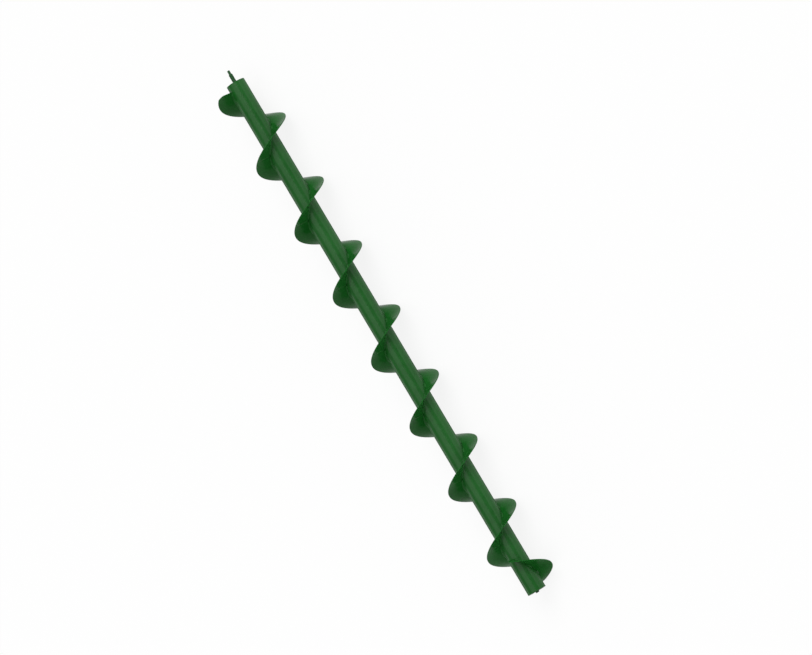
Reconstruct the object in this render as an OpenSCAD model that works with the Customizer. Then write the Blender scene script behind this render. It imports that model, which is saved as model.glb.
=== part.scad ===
// Screw conveyor auger: a centre pipe with welded flights and a stub shaft at each end.
// Millimetres, +Z up. It lies on the rims of its flights, with its axis along X.
// The drive end is at -X and the tail end at +X.
// The origin is on the floor, under the middle of the whole length.

/* [Centre pipe] */
// Outside diameter of the pipe
pipe_od = 73; // [60:0.5:90]
// Wall of the pipe
pipe_wall = 5.2; // [3:0.2:8]
// Length of the pipe
pipe_l = 2182; // [1500:1:3000]

/* [Flights] */
// Outside diameter of the flights
flight_od = 200; // [150:5:260]
// Distance along the axis from one turn to the next
pitch = 277.5; // [220:0.5:320]
// Thickness of the flight plate
flight_t = 3; // [2:0.5:6]
// Bare pipe between the drive end and the first flight
drive_bare_l = 27; // [15:1:150]
// Bare pipe between the last right-handed flight and the tail end
tail_bare_l = 74; // [60:1:200]
// Place of the first flight's start round the axis, from +Y towards +Z
start_angle = 107.5; // [2.5:5:357.5]

/* [Reverse flight] */
// Distance along the axis for one turn of the left-handed flight, where it starts
reverse_start_pitch = 290; // [240:5:320]
// The same where it ends, nearest the tail
reverse_end_pitch = 180; // [140:5:240]
// Angle that the left-handed flight winds round the pipe
reverse_sweep_angle = 185; // [150:5:200]
// Angle on from the end of the last flight to the start of the left-handed one
reverse_offset_angle = 155; // [140:5:170]
// Bare pipe between the left-handed flight and the tail end
reverse_bare_l = 22; // [12:1:40]

/* [End discs] */
// Thickness of the discs that close and stiffen the pipe
disc_t = 8; // [4:1:16]
// Depth of an end disc's face inside the pipe's mouth
disc_recess = 3; // [1:0.5:8]
// Depth of an inner disc's face inside the pipe's mouth
inner_disc_depth = 150; // [60:5:300]

/* [Drive shaft] */
// Diameter of the bars that both stubs are turned from
bar_d = 25; // [20:1:40]
// Diameter of the journal
journal_d = 15; // [10:0.5:19]
// Length of the journal outside the pipe
journal_l = 35; // [20:1:90]
// Diameter of the thin end
drive_end_d = 10; // [6:0.5:10]
// Length of the thin end
drive_end_l = 14; // [8:1:40]
// Length of the cone between the journal and the thin end
shoulder_l = 4; // [1:0.5:10]

/* [Tail pin] */
// Diameter of the tail pin
tail_pin_d = 14; // [10:0.5:19]
// Length of the tail pin outside the pipe
tail_pin_l = 6; // [4:1:60]

/* [Fits] */
// Radial clearance between a disc and the inside of the pipe
disc_fit = 0.1; // [0.05:0.05:0.4]
// Radial clearance between a stub's bar and a disc
shaft_fit = 0.05; // [0.02:0.01:0.2]
// Radial clearance between a flight and the outside of the pipe
flight_fit = 0.1; // [0.05:0.05:0.4]
// Chamfer on the ends of the stubs
shaft_chamfer = 1; // [0.5:0.25:2]
// Length of bar that stands past the inner disc
bar_past_l = 6; // [2:1:20]

/* [Hidden] */
$fn = 96;

// Each turn of a flight has this many straight steps.
steps_per_turn = 72;
step_angle = 360 / steps_per_turn;

pipe_r = pipe_od / 2;
bore_r = pipe_r - pipe_wall;
flight_r = flight_od / 2;
bar_r = bar_d / 2;
bar_inside_l = inner_disc_depth + disc_t + bar_past_l;
// The flights' inner corners stand off the pipe so that the chords between them clear it.
root_r = (pipe_r + flight_fit) / cos(step_angle / 2);
mid_r = (root_r + flight_r) / 2;

// The auger rests on the lowest chord of the flights' rims.
axis_z = flight_r * cos(step_angle / 2);
overall_l = drive_end_l + shoulder_l + journal_l + pipe_l + tail_pin_l;
pipe_x = drive_end_l + shoulder_l + journal_l - overall_l / 2;

// The right-handed flights are cut to one turn each, and the last one to what is left.
flighted_l = pipe_l - drive_bare_l - tail_bare_l;
main_steps = round(flighted_l / pitch * steps_per_turn);
flight_count = ceil(main_steps / steps_per_turn - 0.05);
last_steps = main_steps - (flight_count - 1) * steps_per_turn;
main_sweep = main_steps * step_angle;

reverse_steps = round(reverse_sweep_angle / step_angle);
reverse_l = (reverse_start_pitch + reverse_end_pitch) / 2 * reverse_steps * step_angle / 360;
reverse_start = start_angle + main_sweep + reverse_offset_angle;

paint = [0.16, 0.39, 0.18];
paint_in_shade = [0.07, 0.27, 0.09];

// Half the plate's thickness along the axis, at radius r on a flight of pitch p.
function half_axial_t(r, p) = flight_t / 2 * sqrt(1 + pow(p / (2 * PI * r), 2));

// Distance along the axis when a fraction f of the sweep is done, the pitch going evenly from a to b.
function advance(f, sweep, a, b) = sweep / 360 * (a * f + (b - a) * f * f / 2);

// One radial section of the plate: up its drive side from root to rim, then down its tail side.
function plate_section(angle, x, p) = [
    for (side = [-1, 1])
        for (r = side < 0 ? [root_r, mid_r, flight_r] : [flight_r, mid_r, root_r])
            [x + side * half_axial_t(r, p), r * cos(angle), r * sin(angle)]
];

// Two triangles between corner j of section i and the same corner of the next section.
// The crease runs the same way on both sides of the plate.
function plate_quad(i, j, n) =
    let (a = i * n + j, b = i * n + (j + 1) % n, c = a + n, d = b + n)
    j < n / 2 ? [[a, b, d], [a, d, c]] : [[a, b, c], [b, d, c]];

// A right-handed flight that starts at +Y and winds towards +Z as it goes along +X.
module helical_plate(steps, start_pitch, end_pitch) {
    sweep = steps * step_angle;
    sections = [
        for (i = [0 : steps])
            let (f = i / steps)
            plate_section(i * step_angle, advance(f, sweep, start_pitch, end_pitch),
                start_pitch + (end_pitch - start_pitch) * f)
    ];
    n = len(sections[0]);
    polyhedron(
        points = [for (section = sections) each section],
        faces = concat(
            [[for (j = [n - 1 : -1 : 0]) j]],
            [[for (j = [0 : n - 1]) steps * n + j]],
            [for (i = [0 : steps - 1], j = [0 : n - 1]) each plate_quad(i, j, n)]
        ),
        convexity = 10
    );
}

// Puts a piece on the auger's axis, at x from the pipe's drive end.
module on_axis(x) {
    translate([pipe_x + x, 0, axis_z])
        children();
}

// Turns a profile of [radius, x] points round the auger's axis.
module turned(profile) {
    rotate([0, 90, 0])
        rotate_extrude()
            polygon(profile);
}

module center_pipe() {
    color(paint)
        on_axis(0)
            turned([[bore_r, 0], [pipe_r, 0], [pipe_r, pipe_l], [bore_r, pipe_l]]);
}

// A round plate with a hole for a stub's bar, its drive-side face at x.
module disc(x) {
    hole_r = bar_r + shaft_fit;
    rim_r = bore_r - disc_fit;
    color(paint_in_shade)
        on_axis(x)
            turned([[hole_r, 0], [rim_r, 0], [rim_r, disc_t], [hole_r, disc_t]]);
}

module drive_end_disc() {
    disc(disc_recess);
}

module drive_inner_disc() {
    disc(inner_disc_depth);
}

module tail_end_disc() {
    disc(pipe_l - disc_recess - disc_t);
}

module tail_inner_disc() {
    disc(pipe_l - inner_disc_depth - disc_t);
}

// The bar runs through both discs up to the mouth of the pipe. Outside it is turned down
// to the journal, and past a cone to the thin end.
module drive_shaft() {
    journal_r = journal_d / 2;
    end_r = drive_end_d / 2;
    tip_x = -journal_l - shoulder_l - drive_end_l;
    color(paint)
        on_axis(0)
            turned([
                [0, tip_x],
                [end_r - shaft_chamfer, tip_x],
                [end_r, tip_x + shaft_chamfer],
                [end_r, -journal_l - shoulder_l],
                [journal_r, -journal_l],
                [journal_r, 0],
                [bar_r, 0],
                [bar_r, bar_inside_l - shaft_chamfer],
                [bar_r - shaft_chamfer, bar_inside_l],
                [0, bar_inside_l]
            ]);
}

// The same bar at the other end, turned down to a short pin.
module tail_pin() {
    pin_r = tail_pin_d / 2;
    tip_x = pipe_l + tail_pin_l;
    inside_x = pipe_l - bar_inside_l;
    color(paint_in_shade)
        on_axis(0)
            turned([
                [0, inside_x],
                [bar_r - shaft_chamfer, inside_x],
                [bar_r, inside_x + shaft_chamfer],
                [bar_r, pipe_l],
                [pin_r, pipe_l],
                [pin_r, tip_x - shaft_chamfer],
                [pin_r - shaft_chamfer, tip_x],
                [0, tip_x]
            ]);
}

// Flight number k, counted from the drive end. Each starts where the one before it ends.
module flight(k) {
    color(paint_in_shade)
        on_axis(drive_bare_l + (k - 1) * pitch)
            rotate([start_angle, 0, 0])
                helical_plate(k < flight_count ? steps_per_turn : last_steps, pitch, pitch);
}

// The left-handed flight is a right-handed one mirrored, before it is turned to its place.
module reverse_flight() {
    color(paint_in_shade)
        on_axis(pipe_l - reverse_bare_l - reverse_l)
            rotate([reverse_start, 0, 0])
                mirror([0, 0, 1])
                    helical_plate(reverse_steps, reverse_start_pitch, reverse_end_pitch);
}

center_pipe();
drive_end_disc();
drive_inner_disc();
drive_shaft();
tail_end_disc();
tail_inner_disc();
tail_pin();
for (k = [1 : flight_count])
    flight(k);
reverse_flight();
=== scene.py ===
import math

import bmesh
import bpy
from mathutils import Matrix, Vector, noise


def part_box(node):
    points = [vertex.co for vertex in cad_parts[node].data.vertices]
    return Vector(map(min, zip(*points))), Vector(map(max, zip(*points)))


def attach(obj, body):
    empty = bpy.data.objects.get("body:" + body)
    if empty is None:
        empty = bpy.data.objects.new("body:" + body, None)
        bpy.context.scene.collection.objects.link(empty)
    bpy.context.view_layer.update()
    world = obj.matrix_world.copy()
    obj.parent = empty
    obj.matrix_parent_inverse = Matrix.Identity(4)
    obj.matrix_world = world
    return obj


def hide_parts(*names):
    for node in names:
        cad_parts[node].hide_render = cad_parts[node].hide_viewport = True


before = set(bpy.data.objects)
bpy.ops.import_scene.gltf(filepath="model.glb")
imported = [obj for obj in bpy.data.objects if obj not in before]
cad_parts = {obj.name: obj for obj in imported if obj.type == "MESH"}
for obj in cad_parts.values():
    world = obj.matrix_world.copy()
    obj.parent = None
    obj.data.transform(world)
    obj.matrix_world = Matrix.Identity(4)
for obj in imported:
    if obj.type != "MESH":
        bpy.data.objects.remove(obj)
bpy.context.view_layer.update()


# ---- Centre pipe ----
# A length of drawn steel pipe, 73 mm outside with a 5.2 mm wall, sawn square at both ends and
# deburred. It carries every flight, and the whole auger is sprayed green after welding.
pipe_low, pipe_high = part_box("center_pipe")
pipe_radius = 0.0365
bore_radius = 0.0313
axis = Vector((0, 0, (pipe_low.z + pipe_high.z) / 2))
pipe_deburr = 0.0007
turned_segments = 128
paint_green = (0.008, 0.090, 0.011, 1)
paint_green_thin = (0.011, 0.102, 0.015, 1)
paint_green_thick = (0.006, 0.080, 0.009, 1)
# Lighter green for the rims: a thinner coat there, and partly a painted highlight.
rim_green_and_highlight = (0.014, 0.105, 0.018, 1)
rim_starts = 0.0975
rim_full = 0.1000


class Wire:
    """A socket of a material. Arithmetic on wires adds Math nodes, and node() adds any other."""

    def __init__(self, tree, socket=None):
        self.tree = tree
        self.socket = socket

    def node(self, kind, settings=None, sockets=None, out=0):
        added = self.tree.nodes.new(kind)
        for name, value in (settings or {}).items():
            if name == "stops":
                ramp = added.color_ramp.elements
                while len(ramp) < len(value):
                    ramp.new(1)
                for stop, (place, colour) in zip(ramp, value):
                    stop.position, stop.color = place, colour
            else:
                setattr(added, name, value)
        for name, value in (sockets or {}).items():
            if isinstance(value, Wire):
                self.tree.links.new(value.socket, added.inputs[name])
            else:
                added.inputs[name].default_value = value
        return Wire(self.tree, added.outputs[out] if added.outputs else None)

    def maths(self, operation, *values):
        return self.node("ShaderNodeMath", {"operation": operation}, dict(enumerate(values)))

    def __add__(self, other):
        return self.maths("ADD", self, other)

    def __sub__(self, other):
        return self.maths("SUBTRACT", self, other)

    def __rsub__(self, other):
        return self.maths("SUBTRACT", other, self)

    def __mul__(self, other):
        return self.maths("MULTIPLY", self, other)

    __radd__ = __add__
    __rmul__ = __mul__

    def noise(self, scale, detail=2.0):
        """Noise on this vector, with features about 1 / scale metres across."""
        return self.node("ShaderNodeTexNoise", sockets={
            "Vector": self, "Scale": scale, "Detail": detail, "Roughness": 0.5})

    def between(self, low, high):
        """0 below low and 1 above high, with a smooth step between them."""
        return self.node("ShaderNodeMapRange", {"interpolation_type": "SMOOTHSTEP"}, {
            "Value": self, "From Min": low, "From Max": high})

    def blend(self, first, second):
        """The first colour where this wire is 0 and the second where it is 1."""
        return self.node("ShaderNodeMix", {"data_type": "RGBA"},
                         {0: self, 6: first, 7: second}, out=2)


def sprayed_paint(name, roughness, peel, refraction, haze=0.0, shade=(1, 1, 1)):
    """Semi-gloss green enamel over steel: uneven in thickness, with a fine orange peel.

    Haze is how much rougher the coat looks where it is seen nearly along its surface. The
    shade scales its red, green and blue."""
    material = bpy.data.materials.new(name)
    material.use_nodes = True
    tree = material.node_tree
    tree.nodes.clear()
    place = Wire(tree).node("ShaderNodeTexCoord", out="Object")
    from_axis = place.node("ShaderNodeMapping", sockets={
        "Vector": place, "Location": (0, 0, -axis.z), "Scale": (0, 1, 1)})
    radius = from_axis.node("ShaderNodeVectorMath", {"operation": "LENGTH"}, {0: from_axis},
                            out="Value")

    passes = place.noise(7, 3)
    clouding = place.noise(55, 3)
    dust = place.noise(900, 1)
    coat = (passes * 0.6 + clouding * 0.4).between(0.35, 0.65)
    colour = coat.blend(paint_green_thick, paint_green_thin)
    colour = (clouding.between(0.42, 0.62) * 0.5).blend(colour, paint_green)
    # The coat draws back from the sheared rims, where the primer begins to show.
    # The lighter rim green is also a painted highlight, a reflection painted along the rims.
    thin_rim_and_highlight = radius.between(rim_starts, rim_full) * (0.55 + 0.45 * clouding.between(0.4, 0.6))
    colour = thin_rim_and_highlight.blend(colour, rim_green_and_highlight)
    colour = colour.node("ShaderNodeVectorMath", {"operation": "MULTIPLY"}, {0: colour, 1: shade})

    orange_peel = place.noise(420, 2) * 0.7 + place.noise(130, 2) * 0.6
    # Dust nibs stand up here and there, each under a millimetre across.
    nibs = place.noise(1100, 0).between(0.76, 0.84) * clouding.between(0.45, 0.6)
    bump = place.node("ShaderNodeBump", sockets={
        "Strength": peel, "Distance": 0.0005, "Height": orange_peel + nibs * 0.5}, out="Normal")
    gloss = roughness + 0.10 * (clouding - 0.5) + 0.08 * (passes - 0.5) + 0.05 * (dust - 0.5)
    slant = place.node("ShaderNodeLayerWeight", sockets={"Blend": 0.5}, out="Facing")
    gloss = gloss + haze * slant.between(0.35, 0.75)
    shader = place.node("ShaderNodeBsdfPrincipled", sockets={
        "Base Color": colour, "Roughness": gloss, "IOR": refraction, "Normal": bump})
    place.node("ShaderNodeOutputMaterial", sockets={"Surface": shader})
    return material


def add_piece(name, mesh, material, slot, *nodes):
    """Makes a finished mesh a smooth piece of the auger, which stands for the nodes named."""
    data = bpy.data.meshes.new(name)
    mesh.to_mesh(data)
    mesh.free()
    data.shade_smooth()
    data.materials.append(material)
    piece = bpy.data.objects.new(name, data)
    bpy.context.scene.collection.objects.link(piece)
    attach(piece, "root")
    if nodes:
        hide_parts(*nodes)
    return piece


def break_edges(piece, width, corner=math.radians(25)):
    """Rounds the corners over a width, and keeps the flats beside them flat."""
    edges = piece.modifiers.new("Broken edges", "BEVEL")
    edges.width = width
    edges.segments = 3
    edges.limit_method = "ANGLE"
    edges.angle_limit = corner
    edges.use_clamp_overlap = True
    flats = piece.modifiers.new("Flats", "WEIGHTED_NORMAL")
    flats.keep_sharp = True


def turned_mesh(profile, segments=turned_segments):
    """Turns a profile of (x, radius) points round the auger's axis.

    The profile closes on itself, or starts and ends on the axis."""
    mesh = bmesh.new()
    corners = [mesh.verts.new((x, 0, axis.z + radius)) for x, radius in profile]
    sides = [mesh.edges.new(pair) for pair in zip(corners, corners[1:])]
    if profile[0][1] > 0:
        sides.append(mesh.edges.new((corners[-1], corners[0])))
    bmesh.ops.spin(mesh, geom=corners + sides, cent=axis, axis=(1, 0, 0),
                   angle=math.tau, steps=segments, use_merge=True)
    bmesh.ops.remove_doubles(mesh, verts=mesh.verts, dist=1e-6)
    bmesh.ops.dissolve_degenerate(mesh, edges=mesh.edges, dist=1e-7)
    bmesh.ops.recalc_face_normals(mesh, faces=mesh.faces)
    return mesh


pipe_paint = sprayed_paint("pipe_paint", roughness=0.20, peel=0.30, refraction=1.34, haze=0.5)
pipe_lengths = 12
outside = [(pipe_low.x + (pipe_high.x - pipe_low.x) * i / pipe_lengths, pipe_radius)
           for i in range(pipe_lengths + 1)]
inside = [(x, bore_radius) for x, radius in reversed(outside)]
break_edges(add_piece("pipe_tube", turned_mesh(outside + inside), pipe_paint,
                      "pipe_paint", "center_pipe"), pipe_deburr)


# ---- Discs in the pipe ----
# Four round steel plates, 8 mm thick, stiffen the pipe and hold the two stubs. An end disc is
# welded just inside each mouth and painted a duller green. An inner disc sits bare, 150 mm
# further in.
stub_paint = sprayed_paint("stub_paint", roughness=0.28, peel=0.35, refraction=1.30, haze=0.3,
                           shade=(1, 0.68, 1.2))
disc_radius = 0.0312
disc_edge = 0.0004
bar_radius = 0.0125
mill_grey = (0.30, 0.30, 0.31, 1)
mill_scale = (0.07, 0.075, 0.085, 1)
for end in ("drive", "tail"):
    low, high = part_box(f"{end}_end_disc")
    profile = [(low.x, bar_radius), (low.x, disc_radius),
               (high.x, disc_radius), (high.x, bar_radius)]
    break_edges(add_piece(f"{end}_end_plate", turned_mesh(profile), stub_paint,
                          "stub_paint", f"{end}_end_disc"), disc_edge)


def mill_steel(name):
    """Bare plate as it comes from the mill: grey, with a blue-black scale worn off in patches."""
    material = bpy.data.materials.new(name)
    material.use_nodes = True
    tree = material.node_tree
    tree.nodes.clear()
    place = Wire(tree).node("ShaderNodeTexCoord", out="Object")
    patches = place.noise(110, 4)
    drawn_out = place.node("ShaderNodeMapping", sockets={"Vector": place, "Scale": (1, 0.1, 1)})
    rolled = drawn_out.noise(900, 2)
    scale_left = patches.between(0.45, 0.6)
    colour = scale_left.blend(mill_grey, mill_scale)
    bump = place.node("ShaderNodeBump", sockets={
        "Strength": 0.3, "Distance": 0.0002, "Height": rolled + patches}, out="Normal")
    shader = place.node("ShaderNodeBsdfPrincipled", sockets={
        "Base Color": colour, "Metallic": 1.0 - 0.5 * scale_left,
        "Roughness": 0.38 + 0.2 * scale_left, "Normal": bump})
    place.node("ShaderNodeOutputMaterial", sockets={"Surface": shader})
    return material


inner_steel = mill_steel("inner_steel")
for end in ("drive", "tail"):
    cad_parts[f"{end}_inner_disc"].data.materials[0] = inner_steel


# ---- Drive shaft and tail pin ----
# Two bars of 25 mm steel run through the discs to the pipe's mouths and are turned down
# outside: to a 15 mm journal and a 10 mm end on the drive side, and a 14 mm pin on the tail.
drive_low, drive_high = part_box("drive_shaft")
tail_low, tail_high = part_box("tail_pin")
journal_radius = 0.0075
thin_end_radius = 0.005
thin_end_length = 0.014
cone_length = 0.004
tail_pin_radius = 0.007
centre_radius = 0.0012
centre_depth = 0.0018
stub_chamfer = 0.001
stub_edge = 0.0003
tip = drive_low.x
drive_profile = [
    (tip + centre_depth, 0), (tip, centre_radius), (tip, thin_end_radius - stub_chamfer),
    (tip + stub_chamfer, thin_end_radius), (tip + thin_end_length, thin_end_radius),
    (tip + thin_end_length + cone_length, journal_radius), (pipe_low.x, journal_radius),
    (pipe_low.x, bar_radius), (drive_high.x - stub_chamfer, bar_radius),
    (drive_high.x, bar_radius - stub_chamfer), (drive_high.x, 0)]
tip = tail_high.x
tail_profile = [
    (tail_low.x, 0), (tail_low.x, bar_radius - stub_chamfer),
    (tail_low.x + stub_chamfer, bar_radius), (pipe_high.x, bar_radius),
    (pipe_high.x, tail_pin_radius), (tip - stub_chamfer, tail_pin_radius),
    (tip, tail_pin_radius - stub_chamfer), (tip, centre_radius), (tip - centre_depth, 0)]
break_edges(add_piece("drive_stub", turned_mesh(drive_profile), stub_paint,
                      "stub_paint", "drive_shaft"), stub_edge)
break_edges(add_piece("tail_stub", turned_mesh(tail_profile), stub_paint,
                      "stub_paint", "tail_pin"), stub_edge)


# ---- Flights ----
# Turns of 3 mm steel plate, cut from rings and pulled out along the pipe to one pitch each,
# then welded to the pipe and to one another. Seven and a half turns are right-handed. The
# corners of the free ends are rounded, and the left-handed flight's coat is a little duller.
flight_paint = sprayed_paint("flight_paint", roughness=0.18, peel=0.35, refraction=1.14)
reverse_paint = sprayed_paint("reverse_paint", roughness=0.25, peel=0.90, refraction=1.06)
plate = 0.003
plate_edge = 0.0006
plate_corner = math.radians(60)
rim_radius = 0.0999
pitch = 0.2775
start_angle = math.radians(107.5)
reverse_start_pitch = 0.290
reverse_end_pitch = 0.180
reverse_offset = math.radians(155)
corner_radius = 0.025
corner_cuts = 12
steps_per_turn = 144
radial_strips = 8


def end_thickness(pitch):
    """Half the length along the axis that the plate's thickness takes up at its root."""
    return plate / 2 * math.hypot(1, pitch / (math.tau * pipe_radius))


class Flight:
    """Where one flight winds: its start, its hand, its turns and its pitch at either end."""

    def __init__(self, node, hand, angle, start_pitch, end_pitch):
        low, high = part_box(node)
        self.node = node
        self.hand = hand
        self.angle = angle
        self.start_pitch = start_pitch
        self.end_pitch = end_pitch
        self.start = low.x + end_thickness(start_pitch)
        self.length = high.x - end_thickness(end_pitch) - self.start
        self.turns = self.length / ((start_pitch + end_pitch) / 2)
        self.root_length = self.turns * math.hypot(math.tau * pipe_radius, start_pitch)

    def along(self, done):
        """Distance from the start when a share of the turning is done."""
        change = self.end_pitch - self.start_pitch
        return self.turns * (self.start_pitch * done + change * done * done / 2)

    def turned(self, done):
        return self.hand * self.turns * math.tau * done

    def place(self, radius, done, off=0.0, across=0.0, lift=0.0):
        """A point at a radius on the plate's middle, where a share of the turning is done.

        From there it stands off the plate, across its face and away from the pipe's axis."""
        pitch_here = self.start_pitch + (self.end_pitch - self.start_pitch) * done
        lead = self.hand * pitch_here / math.tau
        slant = math.hypot(radius, lead)
        x = self.start + self.along(done) + (radius * off + lead * across) / slant
        angle = self.angle + self.turned(done) + (radius * across - lead * off) / slant / radius
        height = radius + lift
        return axis + Vector((x, height * math.cos(angle), height * math.sin(angle)))

    def wind(self, mesh, line, first, last, steps):
        """Sweeps a line of new points along the flight from one share of it to another.

        It is spun at an even pitch, and then each step's points go on to the true one. It
        gives the points of every step, with the share of the turning that is done there."""
        edges = list(dict.fromkeys(edge for point in line for edge in point.link_edges))
        even = (self.along(last) - self.along(first)) / steps
        bmesh.ops.spin(mesh, geom=line + edges, cent=axis, axis=(1, 0, 0), steps=steps,
                       angle=self.turned(last - first), dvec=(even, 0, 0))
        points = mesh.verts[-len(line) * (steps + 1):]
        swept = []
        for step in range(steps + 1):
            done = first + (last - first) * step / steps
            row = points[step * len(line):(step + 1) * len(line)]
            for point in row:
                point.co.x += self.along(done) - self.along(first) - even * step
            swept.append((done, row))
        return swept


flights = [Flight(f"flight_{k}", 1, start_angle, pitch, pitch) for k in range(1, 9)]
main_turns = sum(flight.turns for flight in flights)
flights.append(Flight("reverse_flight", -1, start_angle + math.tau * main_turns + reverse_offset,
                      reverse_start_pitch, reverse_end_pitch))
free_ends = {"flight_1": [0], "flight_8": [1], "reverse_flight": [0, 1]}


def round_corner(mesh, flight, end):
    """Rounds the corner between the rim and one end of a plate: its start, 0, or its finish, 1."""
    corner = flight.place(rim_radius, end)
    outward = (corner - flight.place(pipe_radius, end)).normalized()
    ahead = flight.place(rim_radius, end, across=flight.hand * (end - 0.5) * plate)
    past_end = (ahead - corner).normalized()
    centre = corner - corner_radius * (outward + past_end)
    for cut in range(1, corner_cuts + 1):
        angle = math.pi / 2 * cut / (corner_cuts + 1)
        way = math.cos(angle) * outward + math.sin(angle) * past_end
        near = [face for face in mesh.faces
                if (face.calc_center_median() - corner).length < 2 * corner_radius]
        parts = dict.fromkeys(part for face in near for part in (face, *face.edges, *face.verts))
        bmesh.ops.bisect_plane(mesh, geom=list(parts), clear_outer=True,
                               plane_co=centre + corner_radius * way, plane_no=way)


for flight in flights:
    mesh = bmesh.new()
    radii = [pipe_radius + (rim_radius - pipe_radius) * i / radial_strips
             for i in range(radial_strips + 1)]
    line = [mesh.verts.new(flight.place(radius, 0)) for radius in radii]
    for pair in zip(line, line[1:]):
        mesh.edges.new(pair)
    flight.wind(mesh, line, 0, 1, round(flight.turns * steps_per_turn))
    bmesh.ops.recalc_face_normals(mesh, faces=mesh.faces)
    for end in free_ends.get(flight.node, []):
        round_corner(mesh, flight, end)
    paint = flight_paint if flight.hand > 0 else reverse_paint
    piece = add_piece(f"{flight.node}_plate", mesh, paint, "flight_paint", flight.node)
    sheet = piece.modifiers.new("Plate", "SOLIDIFY")
    sheet.thickness = plate
    sheet.offset = 0
    break_edges(piece, plate_edge, plate_corner)


# ---- Welds along the roots ----
# Fillets of weld metal fix each flight to the pipe: one unbroken bead on the side that pushes
# the load, and stitches on the other. They are laid in even ripples and painted over.
weld_paint = sprayed_paint("weld_paint", roughness=0.30, peel=0.50, refraction=1.24)
fillet = 0.0038
crown = 0.0005
buried = 0.0006
ripple_length = 0.0028
rings_per_ripple = 3
ripple_height = 0.055
wavers_per_metre = 90
waver_height = 0.05
end_dip = 0.95
clear_end = 0.004
stitch_turn = 1 / 8
stitch_share = 0.45


def fillet_profile(leg):
    """Corners of a fillet, as heights above one surface and distances from the other."""
    bulge = []
    for share in (0, 0.25, 0.5, 0.75, 1):
        rise = crown * math.sin(math.pi * share)
        bulge.append((leg * share + rise, leg * (1 - share) + rise))
    return [(-buried, -buried), (-buried, leg), *bulge, (leg, -buried)]


def ripple(distance):
    """How full a bead is at a distance along it."""
    waver = waver_height * noise.noise(Vector((distance * wavers_per_metre, 0.5, 0)))
    return 1 + ripple_height * math.cos(math.tau * distance / ripple_length) + waver


def lay_root_bead(mesh, flight, side, first, last):
    """Lays one fillet along a flight's root, on its tail side (1) or its drive side (-1)."""
    ring = [mesh.verts.new(flight.place(pipe_radius, first, side * (plate / 2 + distance),
                                        lift=height))
            for height, distance in fillet_profile(fillet)]
    for pair in zip(ring, ring[1:] + ring[:1]):
        mesh.edges.new(pair)
    length = flight.root_length * (last - first)
    steps = round(length / ripple_length * rings_per_ripple)
    for step, (done, row) in enumerate(flight.wind(mesh, ring, first, last, steps)):
        distance = length * step / steps
        # The bead comes in and runs out over its own width.
        from_end = min(distance, length - distance, fillet) / fillet
        full = ripple(distance) * math.sqrt(1 - end_dip * (1 - from_end) ** 2)
        corner = flight.place(pipe_radius, done, side * plate / 2)
        for point in row:
            point.co = corner + (point.co - corner) * full


for flight in flights:
    mesh = bmesh.new()
    pushing_side = flight.hand
    clear = clear_end / flight.root_length
    lay_root_bead(mesh, flight, pushing_side, clear, 1 - clear)
    stitches = round(flight.turns / stitch_turn)
    for stitch in range(stitches):
        first = (stitch + (1 - stitch_share) / 2) / stitches
        lay_root_bead(mesh, flight, -pushing_side, first, first + stitch_share / stitches)
    bmesh.ops.holes_fill(mesh, edges=mesh.edges)
    bmesh.ops.recalc_face_normals(mesh, faces=mesh.faces)
    add_piece(f"{flight.node}_root_welds", mesh, weld_paint, "flight_paint")


# ---- Welds between flights ----
# Where one turn ends and the next begins, the cut edges are butt welded from both sides, and
# the bead is dressed down to a low crown that stops just short of the rim.
butt_width = 0.0048
butt_crown = 0.0006
butt_steps = 90
butt_profile = [(-0.5, -0.5), (-0.5, 0), (-0.3, 0.7), (0, 1), (0.3, 0.7), (0.5, 0), (0.5, -0.5)]
butt_in_fillet = 0.8
butt_off_rim = 0.0008
butt_run_out = 0.97
butt_dip = 0.7
butt_low = pipe_radius + fillet * butt_in_fillet
butt_high = rim_radius - butt_off_rim
joined_flights = flights[:-2]
for flight in joined_flights:
    mesh = bmesh.new()
    for side in (-1, 1):
        ring = [mesh.verts.new(flight.place(butt_low, 1, side * (plate / 2 + up * butt_crown),
                                            across * butt_width)) for across, up in butt_profile]
        edges = [mesh.edges.new(pair) for pair in zip(ring, ring[1:] + ring[:1])]
        bmesh.ops.spin(mesh, geom=ring + edges, cent=axis, axis=(1, 0, 0), angle=0,
                       steps=butt_steps, dvec=(0, 0, 0))
        points = mesh.verts[-len(ring) * (butt_steps + 1):]
        for number, point in enumerate(points):
            along = number // len(ring) / butt_steps
            across, up = butt_profile[number % len(ring)]
            radius = butt_low + (butt_high - butt_low) * along
            run_out = max(0, (along - butt_run_out) / (1 - butt_run_out))
            full = ripple(radius) * (1 - butt_dip * run_out ** 2)
            point.co = flight.place(radius, 1, side * (plate / 2 + up * butt_crown * full),
                                    across * butt_width * full)
    bmesh.ops.holes_fill(mesh, edges=mesh.edges)
    bmesh.ops.recalc_face_normals(mesh, faces=mesh.faces)
    add_piece(f"{flight.node}_butt_welds", mesh, weld_paint, "flight_paint")


# ---- Welds in the pipe's mouths ----
# A fillet runs round each end disc where it meets the pipe, and another where the stub's bar
# comes through it. They close the pipe against damp and carry the drive into it.
mouth_fillet = 0.0025
for end, face, outward in (("drive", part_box("drive_end_disc")[0].x, -1),
                           ("tail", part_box("tail_end_disc")[1].x, 1)):
    for seat, radius, grows in (("rim", bore_radius, -1), ("bar", bar_radius, 1)):
        profile = [(face + outward * distance, radius + grows * height)
                   for height, distance in fillet_profile(mouth_fillet)]
        mesh = turned_mesh(profile, round(math.tau * radius / ripple_length * rings_per_ripple))
        for vertex in mesh.verts:
            offset = vertex.co - axis
            turn = math.atan2(offset.z, offset.y)
            corner = Vector((face, radius * math.cos(turn), radius * math.sin(turn)))
            vertex.co = axis + corner + (offset - corner) * ripple(turn * radius)
        add_piece(f"{end}_{seat}_weld", mesh, weld_paint, "stub_paint")


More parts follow.
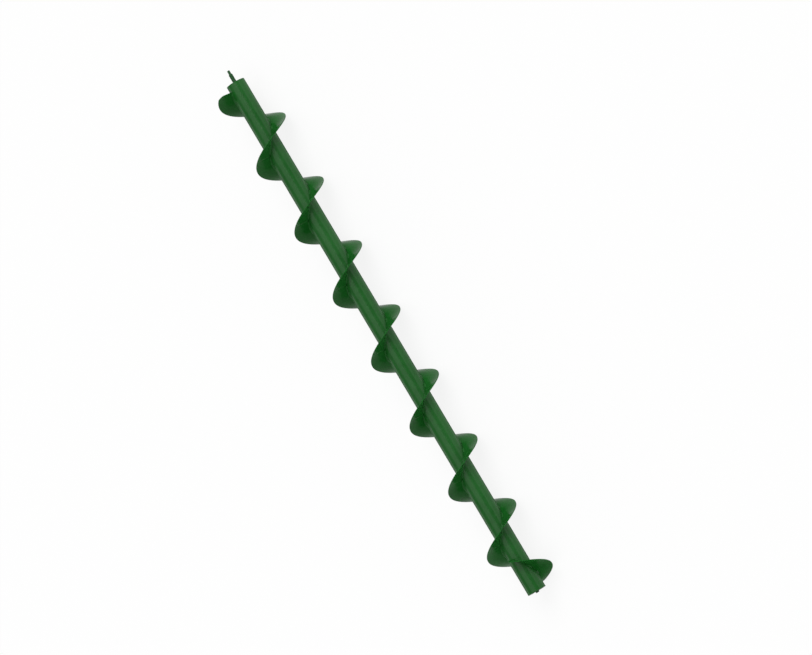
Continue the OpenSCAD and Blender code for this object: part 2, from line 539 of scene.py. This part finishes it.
# ---- Floor, light and camera ----
# A plain white studio floor, a soft white sky that is brighter overhead and near the horizon,
# and one soft lamp. The camera looks down on the auger.
floor_size = 80
floor_drop = 0.0002
floor_white = (0.93, 0.93, 0.93, 1)
floor_glow = 0.85
bpy.ops.mesh.primitive_plane_add(size=floor_size, location=(0, 0, -floor_drop))
floor = bpy.context.object
floor.name = "studio_floor"
white = bpy.data.materials.new("floor_white")
white.use_nodes = True
white.node_tree.nodes.clear()
ray = Wire(white.node_tree).node("ShaderNodeLightPath")
seen = [Wire(white.node_tree, ray.socket.node.outputs[name])
        for name in ("Is Camera Ray", "Is Glossy Ray", "Is Transmission Ray")]
shown = seen[0].maths("MAXIMUM", seen[0], seen[1].maths("MAXIMUM", seen[1], seen[2]))
lit = ray.node("ShaderNodeBsdfDiffuse", sockets={"Color": floor_white})
plain = ray.node("ShaderNodeEmission", sockets={"Color": (1, 1, 1, 1), "Strength": 1.0})
surface = ray.node("ShaderNodeMixShader", sockets={0: shown * floor_glow, 1: lit, 2: plain})
ray.node("ShaderNodeOutputMaterial", sockets={"Surface": surface})
floor.data.materials.append(white)

# Brightness of the sky by height, from 0 at the horizon to 1 overhead.
sky_levels = [(0.00, 0.75), (0.22, 0.8), (0.42, 0.25), (0.84, 0.25), (0.93, 0.8)]
sky_strength = 1.6
world = bpy.data.worlds.new("studio")
bpy.context.scene.world = world
world.use_nodes = True
world.node_tree.nodes.clear()
direction = Wire(world.node_tree).node("ShaderNodeTexCoord", out="Generated")
height = direction.node("ShaderNodeSeparateXYZ", sockets={0: direction}, out="Z")
sky_stops = [(place, (level, level, level, 1)) for place, level in sky_levels]
sky = height.node("ShaderNodeValToRGB", {"stops": sky_stops}, {0: height})
glow = sky.node("ShaderNodeBackground", sockets={"Color": sky, "Strength": sky_strength})
glow.node("ShaderNodeOutputWorld", sockets={"Surface": glow})

key_strength = 1.5
key_softness = math.radians(40)
key_from = Vector((-0.6, 0.45, 0.8))
key = bpy.data.lights.new("soft_key", "SUN")
key.energy = key_strength
key.angle = key_softness
lamp = bpy.data.objects.new("soft_key", key)
lamp.matrix_world = key_from.to_track_quat("Z", "Y").to_matrix().to_4x4()
bpy.context.scene.collection.objects.link(lamp)

# The camera's own right and up are turned from the auger, which lies aslant in the frame and
# with its tail end a little nearer.
sensor_width = 36
lens_length = 204.9916
camera_distance = 16.99
camera_rise = math.radians(56.5)
tail_nearer = math.radians(5.7713)
down_the_frame = math.radians(59.26225)
aim_along_axis = 0.032
aim_toward_tail = 0.0058
aim_beside = 0.0803
across = Vector((0, math.cos(camera_rise), math.sin(camera_rise)))
toward_tail = Vector((math.cos(tail_nearer), 0, 0)) - math.sin(tail_nearer) * across
back = Vector((math.sin(tail_nearer), 0, 0)) + math.cos(tail_nearer) * across
beside = back.cross(toward_tail)
right = math.cos(down_the_frame) * toward_tail + math.sin(down_the_frame) * beside
up = -math.sin(down_the_frame) * toward_tail + math.cos(down_the_frame) * beside
aim = (axis + Vector((aim_along_axis, 0, 0)) + aim_toward_tail * toward_tail
       + aim_beside * beside)
view = bpy.data.cameras.new("camera")
view.sensor_width = sensor_width
view.lens = lens_length
view.clip_end = 100
camera = bpy.data.objects.new("camera", view)
camera.matrix_world = Matrix.Translation(aim + camera_distance * back) @ Matrix(
    (right, up, back)).transposed().to_4x4()
bpy.context.scene.collection.objects.link(camera)
bpy.context.scene.camera = camera
bpy.context.scene.view_settings.view_transform = "Standard"
